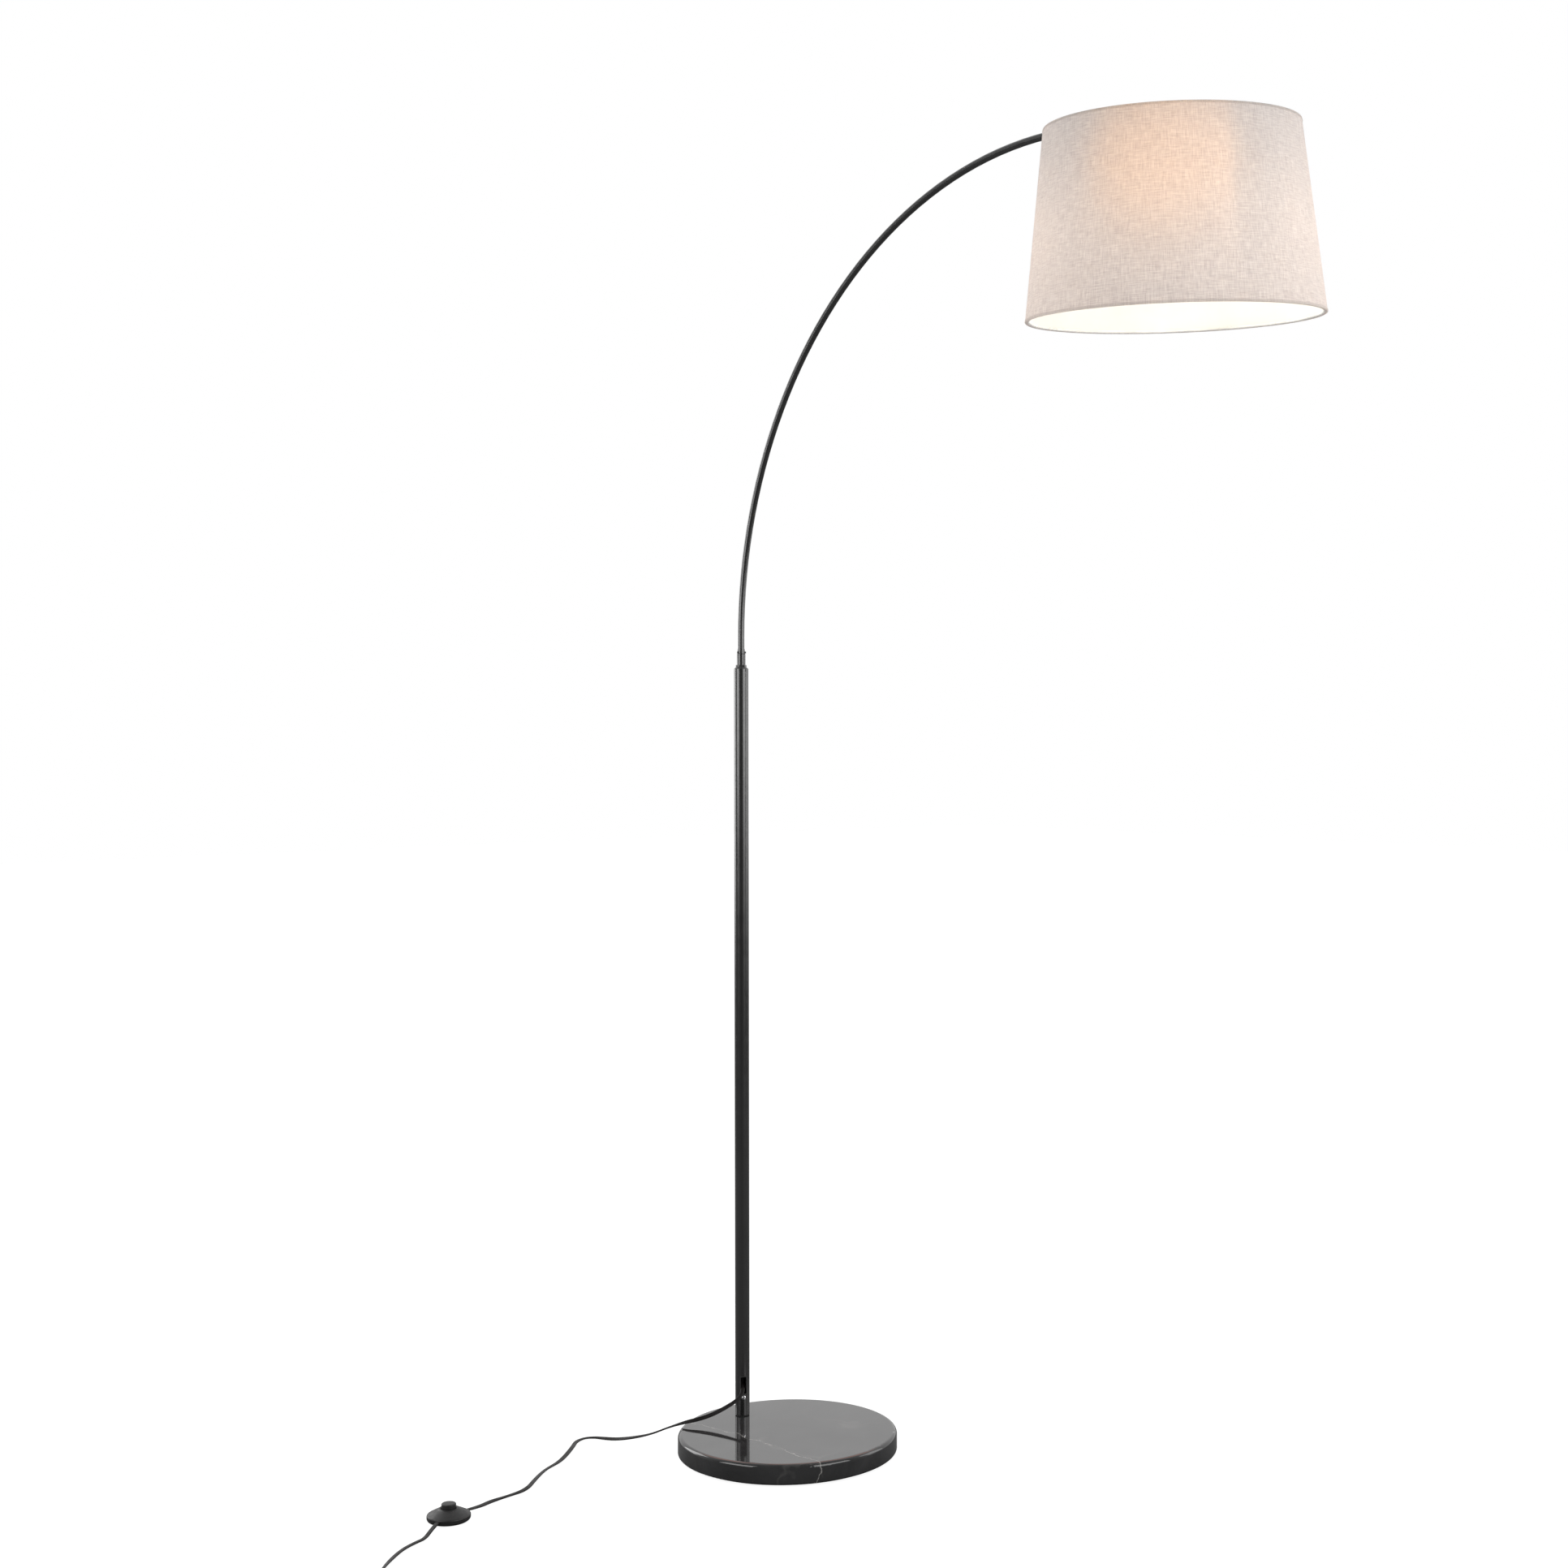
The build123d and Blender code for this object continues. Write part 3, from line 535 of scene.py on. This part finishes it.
def make_shade():
    """Linen cover over a smooth liner, with a hem round each edge."""
    cover_band = cone_band(0, 0.9, SHADE_FOOT + 0.3, SHADE_TOP - 0.3, 40)
    linen_bm = lathe(cover_band, SHADE_STEPS, HEAD_PLACE, uv_radius=CLOTH_RADIUS)
    linen = add_mesh("linen_cover", linen_bm, "shade_head", "linen", 50)
    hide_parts("shade_fabric")
    liner_band = cone_band(1.1, 0.6, SHADE_FOOT + 0.9, SHADE_TOP - 0.9, 24)
    liner_bm = lathe(liner_band, SHADE_STEPS, HEAD_PLACE)
    liner = add_mesh("shade_inner_liner", liner_bm, "shade_head", "white_liner", 50)
    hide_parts("shade_liner")
    top_hem = make_hem("hem_top", SHADE_TOP, -1, "shade_top_hem")
    foot_hem = make_hem("hem_bottom", SHADE_FOOT, 1, "shade_bottom_hem")
    return linen, liner, top_hem, foot_hem


linen, liner, top_hem, foot_hem = make_shade()
seam = make_seam()


# --- Materials ------------------------------------------------------------------------------
class Look:
    """Builder for one procedural material around a Principled shader."""

    def __init__(self, name, color, roughness, metallic=0.0):
        self.material = bpy.data.materials.new(name)
        self.material.use_nodes = True
        self.tree = self.material.node_tree
        self.shader = next(n for n in self.tree.nodes if n.type == "BSDF_PRINCIPLED")
        self.shader.inputs["Base Color"].default_value = (*color, 1)
        self.shader.inputs["Roughness"].default_value = roughness
        self.shader.inputs["Metallic"].default_value = metallic

    def node(self, kind, inputs=None, **settings):
        made = self.tree.nodes.new(kind)
        for key, value in settings.items():
            setattr(made, key, value)
        for key, value in (inputs or {}).items():
            self.feed(made.inputs[key], value)
        return made

    def feed(self, socket, value):
        """Link a socket to another, or set its own value."""
        if isinstance(value, bpy.types.NodeSocket):
            self.tree.links.new(value, socket)
        elif isinstance(value, tuple) and len(value) == 3 and socket.type == "RGBA":
            socket.default_value = (*value, 1)
        else:
            socket.default_value = value

    def where(self, uv=False):
        """Object coordinates in metres, or the cloth's own coordinates."""
        coords = self.node("ShaderNodeTexCoord").outputs["UV" if uv else "Object"]
        return self.node("ShaderNodeMapping", {"Vector": coords}).outputs[0]

    def noise(self, vector, scale, detail=3.0, roughness=0.5, distortion=0.0):
        made = self.node("ShaderNodeTexNoise", {"Vector": vector, "Scale": scale, "Detail": detail,
                                                "Roughness": roughness, "Distortion": distortion})
        return made.outputs["Fac"]

    def math(self, operation, a, b=0.0):
        return self.node("ShaderNodeMath", {0: a, 1: b}, operation=operation).outputs[0]

    def map(self, value, low, high, to_low=0.0, to_high=1.0, smooth=False):
        kind = "SMOOTHSTEP" if smooth else "LINEAR"
        inputs = {"Value": value, "From Min": low, "From Max": high, "To Min": to_low, "To Max": to_high}
        return self.node("ShaderNodeMapRange", inputs, interpolation_type=kind).outputs[0]

    def mix(self, factor, a, b):
        """Blend of two colours; sockets 6 and 7 and output 2 are the Mix node's colour ones."""
        return self.node("ShaderNodeMix", {0: factor, 6: a, 7: b}, data_type="RGBA").outputs[2]

    def bump(self, height, distance):
        inputs = {"Height": height, "Distance": distance, "Strength": 1.0}
        return self.node("ShaderNodeBump", inputs).outputs[0]

    def set(self, **sockets):
        """Set or link the shader's sockets, named with underscores for spaces."""
        for key, value in sockets.items():
            self.feed(self.shader.inputs[key.replace("_", " ")], value)


def paint(look, tint_scale, tint_amount, rough_low, rough_high, grain_scale, grain_height):
    """Colour drift, uneven roughness and a fine grain, common to the plain finishes."""
    place = look.where()
    base = tuple(look.shader.inputs["Base Color"].default_value)[:3]
    drift = look.noise(place, tint_scale, 4, 0.55)
    light = tuple(min(1, c * (1 + tint_amount) + 0.002) for c in base)
    dark = tuple(c * (1 - tint_amount) for c in base)
    look.set(Base_Color=look.mix(look.map(drift, 0.3, 0.7), dark, light))
    wear = look.noise(place, tint_scale * 7, 3, 0.6)
    look.set(Roughness=look.map(wear, 0.3, 0.7, rough_low, rough_high))
    look.set(Normal=look.bump(look.noise(place, grain_scale, 2, 0.5), grain_height))
    return look.material


def marble_look():
    """Polished black marble: cloudy ground, one long broken vein, faint cracks and flecks."""
    look = Look("polished_black_marble", (0.01, 0.01, 0.011), 0.06)
    place = look.where()
    cloud = look.noise(place, 14, 6, 0.6, 0.8)
    ground = look.mix(look.map(cloud, 0.35, 0.72), (0.017, 0.017, 0.0175), (0.037, 0.037, 0.038))
    wobble = look.noise(place, 22, 5, 0.6)
    sway = look.node("ShaderNodeTexNoise", {"Vector": place, "Scale": 9.0, "Detail": 4.0})
    bend = {0: place, 1: sway.outputs["Color"], 2: (0.09, 0.09, 0.09)}
    warp = look.node("ShaderNodeVectorMath", bend, operation="MULTIPLY_ADD").outputs[0]
    crack = look.node("ShaderNodeTexVoronoi", {"Vector": warp, "Scale": 7.0}, feature="DISTANCE_TO_EDGE")
    thin = look.map(crack.outputs["Distance"], 0.0, 0.012, 1, 0)
    patch = look.map(look.noise(place, 11, 3, 0.5), 0.52, 0.66)
    faint = look.math("MULTIPLY", look.math("MULTIPLY", thin, patch), 0.05)
    split = look.node("ShaderNodeSeparateXYZ", {0: place})
    x, y = split.outputs[0], split.outputs[1]
    swing = look.map(wobble, 0.2, 0.8, -0.011, 0.011)
    step = look.map(x, -0.055, -0.035, -0.005, 0.004, smooth=True)
    course = look.math("SUBTRACT", step, 0.065)
    off = look.math("ABSOLUTE", look.math("SUBTRACT", look.math("SUBTRACT", y, swing), course))
    line = look.map(off, 0.00015, 0.0008, 1, 0)
    broken = look.map(look.noise(place, 60, 3, 0.6), 0.4, 0.62, 0.12, 1.0)
    extent = look.map(x, -0.142, -0.125, 0, 1, smooth=True)
    main = look.math("MULTIPLY", look.math("MULTIPLY", line, broken), look.math("MULTIPLY", extent, 0.6))
    specks = look.node("ShaderNodeTexVoronoi", {"Vector": place, "Scale": 70.0})
    dot = look.map(specks.outputs["Distance"], 0.03, 0.09, 1, 0)
    rare = look.map(look.noise(place, 33, 1, 0.5), 0.66, 0.7)
    fleck = look.math("MULTIPLY", look.math("MULTIPLY", dot, rare), 0.5)
    veins = look.math("MAXIMUM", look.math("MAXIMUM", main, faint), fleck)
    look.set(Base_Color=look.mix(veins, ground, (0.62, 0.6, 0.57)))
    look.set(Roughness=look.map(look.noise(place, 45, 4, 0.6), 0.3, 0.75, 0.035, 0.085))
    look.set(IOR=1.56)
    look.set(Normal=look.bump(look.noise(place, 240, 2, 0.5), 0.000004))
    return look.material


def metal_paint_look():
    look = Look("satin_black_paint", (0.007, 0.0069, 0.0068), 0.3)
    look.set(IOR=1.8)
    return paint(look, 9, 0.22, 0.2, 0.27, 1400, 0.000015)


def brushed_look(name, color, rough_low, rough_high):
    return paint(Look(name, color, 0.3, 1.0), 40, 0.12, rough_low, rough_high, 900, 0.000015)


def plastic_look(name, color, rough_low, rough_high, grain=1600, height=0.00004):
    return paint(Look(name, color, 0.5), 30, 0.16, rough_low, rough_high, grain, height)


def cord_look():
    look = Look("flexible_cord", (0.0065, 0.005, 0.0048), 0.4)
    look.set(Specular_IOR_Level=0.28)
    return paint(look, 24, 0.25, 0.4, 0.52, 900, 0.00003)


THREAD = 0.0006  # spacing of the threads, in metres
CLOTH_TONES = (0.76, 1.22)  # thread tones that read as the darkest and the lightest yarn
CLOTH_THROUGH = 0.32  # share of the cloth's light that comes from behind it
DOUBLED_CLOTH_SHADE = 0.88  # painted shade: how much of its colour doubled cloth keeps, for the light it holds back


def thread_pattern(look, cloth):
    """Slubby plain weave: fine threads, thick and thin places along them, and their relief."""
    def streaks(width, length, detail):
        across = look.node("ShaderNodeMapping", {"Vector": cloth, "Scale": (1 / width, 1 / length, 1)})
        along = look.node("ShaderNodeMapping", {"Vector": cloth, "Scale": (1 / length, 1 / width, 1)})
        return look.noise(across.outputs[0], 1.0, detail), look.noise(along.outputs[0], 1.0, detail)

    warp, weft = streaks(0.0009, 0.011, 1.0)
    slub_warp, slub_weft = streaks(0.0017, 0.024, 1.5)
    split = look.node("ShaderNodeSeparateXYZ", {0: cloth})
    wave_u = look.math("SINE", look.math("MULTIPLY", split.outputs[0], math.pi / THREAD))
    wave_v = look.math("SINE", look.math("MULTIPLY", split.outputs[1], math.pi / THREAD))
    over = look.math("MULTIPLY", wave_u, wave_v)
    fine = look.math("ADD", warp, weft)
    slubs = look.math("ADD", slub_warp, slub_weft)
    tone = look.math("ADD", look.math("MULTIPLY", fine, 0.6), look.math("MULTIPLY", slubs, 0.4))
    return look.math("ADD", tone, look.math("MULTIPLY", over, 0.035)), over


def linen_look(name="heathered_linen", shade=1.0):
    """Two-tone linen that lets the bulb's light through. shade darkens its colour for doubled cloth, as painted
    shade for the light that two layers hold back.
    """
    look = Look(name, (0.6, 0.58, 0.57), 0.9)
    cloth = look.where(uv=True)
    tone, over = thread_pattern(look, cloth)
    # Painted shade: a shade below 1 darkens only the reflected colour; the light through the cloth stays the
    # same.
    light = (0.985 * shade, 0.95 * shade, 0.92 * shade)
    dark = (0.70 * shade, 0.66 * shade, 0.66 * shade)
    heather = look.mix(look.map(tone, *CLOTH_TONES), dark, light)
    look.set(Base_Color=heather, Sheen_Weight=0.25, Sheen_Roughness=0.5)
    normal = look.bump(look.math("ADD", look.math("MULTIPLY", over, 0.5), tone), 0.0002)
    look.set(Normal=normal)
    through = look.mix(look.map(tone, *CLOTH_TONES), (0.80, 0.65, 0.54), (1.0, 0.87, 0.76))
    behind = look.node("ShaderNodeBsdfTranslucent", {"Color": through, "Normal": normal})
    mixed = look.node("ShaderNodeMixShader", {0: CLOTH_THROUGH, 1: look.shader.outputs[0], 2: behind.outputs[0]})
    output = next(n for n in look.tree.nodes if n.type == "OUTPUT_MATERIAL")
    look.feed(output.inputs["Surface"], mixed.outputs[0])
    return look.material


def liner_look():
    look = Look("smooth_white_liner", (0.9, 0.89, 0.87), 0.55)
    return paint(look, 30, 0.02, 0.5, 0.62, 500, 0.00002)


def bulb_look():
    look = Look("lit_frosted_globe", (0.95, 0.93, 0.88), 0.35)
    place = look.where()
    tone = look.noise(place, 60, 3, 0.5)
    look.set(Emission_Color=(1.0, 0.9, 0.74), Emission_Strength=6.0)
    look.set(Roughness=look.map(tone, 0.3, 0.7, 0.3, 0.4))
    return look.material


def felt_look():
    look = Look("black_felt", (0.012, 0.012, 0.012), 0.95)
    look.set(Sheen_Weight=0.3)
    return paint(look, 60, 0.3, 0.9, 1.0, 1500, 0.0002)


SLOT_LOOKS = {
    "black_marble": marble_look(),
    "black_felt": felt_look(),
    "zinc_steel": brushed_look("zinc_plated_steel", (0.55, 0.55, 0.54), 0.28, 0.42),
    "satin_black_metal": metal_paint_look(),
    "chrome_screw": brushed_look("bright_chrome", (0.8, 0.8, 0.81), 0.08, 0.16),
    "cast_steel": brushed_look("machined_steel", (0.2, 0.2, 0.2), 0.4, 0.55),
    "black_rubber": plastic_look("black_rubber", (0.008, 0.008, 0.008), 0.7, 0.85),
    "black_nylon": plastic_look("black_nylon", (0.03, 0.03, 0.03), 0.4, 0.52),
    "cord_pvc": cord_look(),
    "holder_plastic": plastic_look("moulded_holder", (0.02, 0.02, 0.02), 0.35, 0.5),
    "holder_ceramic": plastic_look("porcelain", (0.8, 0.78, 0.72), 0.2, 0.3, 500, 0.00001),
    "brass": brushed_look("bright_brass", (0.75, 0.56, 0.26), 0.2, 0.32),
    "bulb_metal": brushed_look("bulb_thread", (0.78, 0.78, 0.78), 0.25, 0.35),
    "bulb_plastic": plastic_look("bulb_body", (0.82, 0.81, 0.78), 0.4, 0.5),
    "bulb_glass": bulb_look(),
    "white_wire": plastic_look("white_enamel", (0.84, 0.83, 0.8), 0.25, 0.34, 600, 0.00001),
    "linen": linen_look(),
    "white_liner": liner_look(),
    # The hem's doubled cloth is drawn darker: painted shade for the light it holds back.
    "hem_tape": linen_look("hem_linen_shaded", 0.76),
    "switch_plastic": plastic_look("grained_switch_plastic", (0.0095, 0.0088, 0.009),
                                   0.42, 0.56, 2200, 0.00007),
    "plug_plastic": plastic_look("plug_plastic", (0.018, 0.018, 0.018), 0.38, 0.5),
}


def dress():
    """Give every shown piece and CAD node the look of its record slot."""
    slot_of = {part["node"]: part["material_slot"] for part in frame["record"]["subparts"]}
    for name, node in frame["nodes"].items():
        node.data.materials.clear()
        node.data.materials.append(SLOT_LOOKS[slot_of[name]])
    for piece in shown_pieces():
        if "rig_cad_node" not in piece:
            piece.data.materials.clear()
            piece.data.materials.append(SLOT_LOOKS[piece["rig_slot"]])


dress()
# Painted shade: the lap's two layers of cloth are drawn darker, standing in for the light they hold back.
seam.data.materials[0] = linen_look("lapped_linen_shaded", DOUBLED_CLOTH_SHADE)


# --- Floor, world and lights -----------------------------------------------------------------
FLOOR_HALF = 14.0
FLOOR_Z = -0.0004
BACKDROP_TOWARDS = (-0.716, 0.697, 0.0)  # from the camera past the lamp


def make_floor():
    """Pale floor that the camera sees as white, but that throws only soft light on the lamp."""
    data = bpy.data.meshes.new("floor")
    corners = [(x * FLOOR_HALF, y * FLOOR_HALF, FLOOR_Z)
               for x, y in ((-1, -1), (1, -1), (1, 1), (-1, 1))]
    data.from_pydata(corners, [], [(0, 1, 2, 3)])
    floor = bpy.data.objects.new("floor", data)
    scene.collection.objects.link(floor)
    look = Look("pale_floor", (0.2, 0.2, 0.2), 0.9)
    seen = look.node("ShaderNodeLightPath").outputs["Is Camera Ray"]
    look.set(Emission_Color=(1.0, 1.0, 1.0), Emission_Strength=look.math("MULTIPLY", seen, 0.9))
    data.materials.append(look.material)


def make_world():
    """Even white backdrop, which lights the lamp more from behind it than from in front."""
    world = bpy.data.worlds.new("studio")
    scene.world = world
    world.use_nodes = True
    tree = world.node_tree
    tree.nodes.clear()
    coords = tree.nodes.new("ShaderNodeTexCoord")
    dot = tree.nodes.new("ShaderNodeVectorMath")
    dot.operation = "DOT_PRODUCT"
    dot.inputs[1].default_value = BACKDROP_TOWARDS
    tree.links.new(coords.outputs["Generated"], dot.inputs[0])
    level = tree.nodes.new("ShaderNodeMapRange")
    level.interpolation_type = "SMOOTHSTEP"
    for key, value in {"From Min": -0.5, "From Max": 0.75, "To Min": 0.18, "To Max": 1.08}.items():
        level.inputs[key].default_value = value
    tree.links.new(dot.outputs["Value"], level.inputs["Value"])
    lighting = tree.nodes.new("ShaderNodeBackground")
    tree.links.new(level.outputs[0], lighting.inputs["Strength"])
    backdrop = tree.nodes.new("ShaderNodeBackground")
    backdrop.inputs["Strength"].default_value = 1.0
    backdrop.inputs["Color"].default_value = (1, 1, 1, 1)
    lighting.inputs["Color"].default_value = (1, 1, 1, 1)
    rays = tree.nodes.new("ShaderNodeLightPath")
    mixed = tree.nodes.new("ShaderNodeMixShader")
    tree.links.new(rays.outputs["Is Camera Ray"], mixed.inputs[0])
    tree.links.new(lighting.outputs[0], mixed.inputs[1])
    tree.links.new(backdrop.outputs[0], mixed.inputs[2])
    output = tree.nodes.new("ShaderNodeOutputWorld")
    tree.links.new(mixed.outputs[0], output.inputs["Surface"])


def grouped(name, pieces):
    group = bpy.data.collections.new(name)
    for piece in pieces:
        group.objects.link(piece)
    return group


def shine(name, kind, power, place, target, only=(), past=(), color=(1, 1, 1), **settings):
    """A light aimed at a point. only is what it falls on, and past what may shade it.

    One kept to the shade doesn't show in glossy pieces."""
    data = bpy.data.lights.new(name, kind)
    data.energy = power
    data.color = color
    for key, value in settings.items():
        setattr(data, key, value)
    light = bpy.data.objects.new(name, data)
    scene.collection.objects.link(light)
    light.location = place
    light.rotation_euler = (Vector(target) - Vector(place)).to_track_quat("-Z", "Y").to_euler()
    light.visible_camera = False
    if only:
        light.light_linking.receiver_collection = grouped(name + "_falls_on", only)
        light.visible_glossy = frame["nodes"]["marble_base"] in only
    if past:
        light.light_linking.blocker_collection = grouped(name + "_shaded_by", past)
    return light


def softbox(name, power, place, target, width, height, only=(), color=(1, 1, 1)):
    shine(name, "AREA", power, place, target, only, color=color,
          shape="RECTANGLE", size=width, size_y=height)


BULB_Z, GLOW_Z = -0.123, -0.068  # below the pivot, along the shade's axis
SHADE_MIDDLE = (0.68, 0, 1.58)


def studio():
    """Two softboxes in front, two beside the lamp, and lights kept to the marble or the shade."""
    nodes = frame["nodes"]
    marble = nodes["marble_base"]
    head = [nodes[name] for name in frame["record"]["behaviour"]["bodies"]["shade_head"]]
    shade = [linen, liner, top_hem, foot_hem, seam, *head]
    softbox("front_left", 32, (-0.22, -2.6, 1.52), (-0.1, 0, 1.2), 1.8, 1.5)
    softbox("front_right", 48, (3.27, 0.47, 1.62), (-0.1, 0, 1.2), 2.3, 1.9)
    softbox("side_left", 23, (-2.44, -0.89, 1.25), (0, 0, 0.3), 1.2, 1.6)
    softbox("side_right", 12, (1.22, 2.3, 1.25), (0, 0, 0.3), 1.2, 1.6)
    softbox("warm_strip", 12, (-1.4, 1.2, 2.4), (0, 0, 0), 3.0, 1.0, [marble], (1, 0.22, 0.08))
    softbox("shade_right", 13, (3.1, -1.0, 1.9), SHADE_MIDDLE, 1.8, 1.8, shade, (0.95, 0.98, 1))
    softbox("shade_below", 7, (0.7, -0.2, 0.3), (0.7, 0, 1.5), 1.2, 1.2, shade)
    # The cover and liner pass the bulb's light on, so they don't shade it.
    bulb = HEAD_PLACE @ Vector((0, 0, BULB_Z))
    below = HEAD_PLACE @ Vector((0, 0, -0.5))
    solid = [nodes[name] for name in ("shade_frame", "lampholder_body", "bulb_housing")]
    inner = shine("bulb_light", "POINT", 0.72, bulb, below, shade, solid, (1, 0.93, 0.84),
                  shadow_soft_size=0.03)
    glow = HEAD_PLACE @ Vector((0, 0, GLOW_Z))
    warm = shine("bulb_glow", "SPOT", 0.58, glow, glow + Vector((0.6, -0.8, 0.06)), shade,
                 [nodes["shade_bottom_ring"]], (1, 0.53, 0.03),
                 shadow_soft_size=0.03, spot_size=math.radians(88), spot_blend=1.0)
    # Both move with the head, so the shade stays lit in every pose.
    for light in (inner, warm):
        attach(light, "shade_head")


make_floor()
make_world()
studio()
